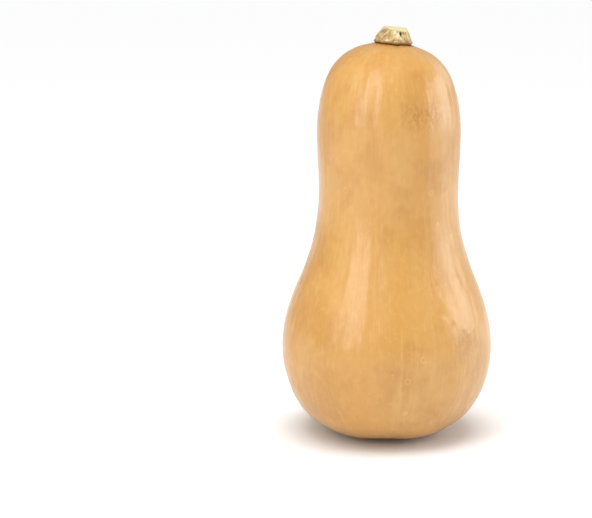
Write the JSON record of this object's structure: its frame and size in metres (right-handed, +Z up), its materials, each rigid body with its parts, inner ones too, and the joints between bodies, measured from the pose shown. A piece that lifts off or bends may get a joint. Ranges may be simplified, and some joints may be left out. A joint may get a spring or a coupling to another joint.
{
  "type": "butternut squash",
  "caption": "Whole butternut squash standing on its blossom end: round bulb, long straight neck, smooth tan skin and a short corky stem stump on top.",
  "frame": {"origin": "on the table, in the middle of the fruit's footprint", "axes": "+Z up the fruit's axis from blossom end to stem, -Y towards the viewer, +X to the viewer's right"},
  "size_m": [0.125, 0.1274, 0.2419],
  "materials": {
    "skin": "satin",
    "stem_cork": "matte"
  },
  "bodies": {
    "root": {"fruit": "skin", "stem": "stem_cork"}
  },
  "joints": []
}
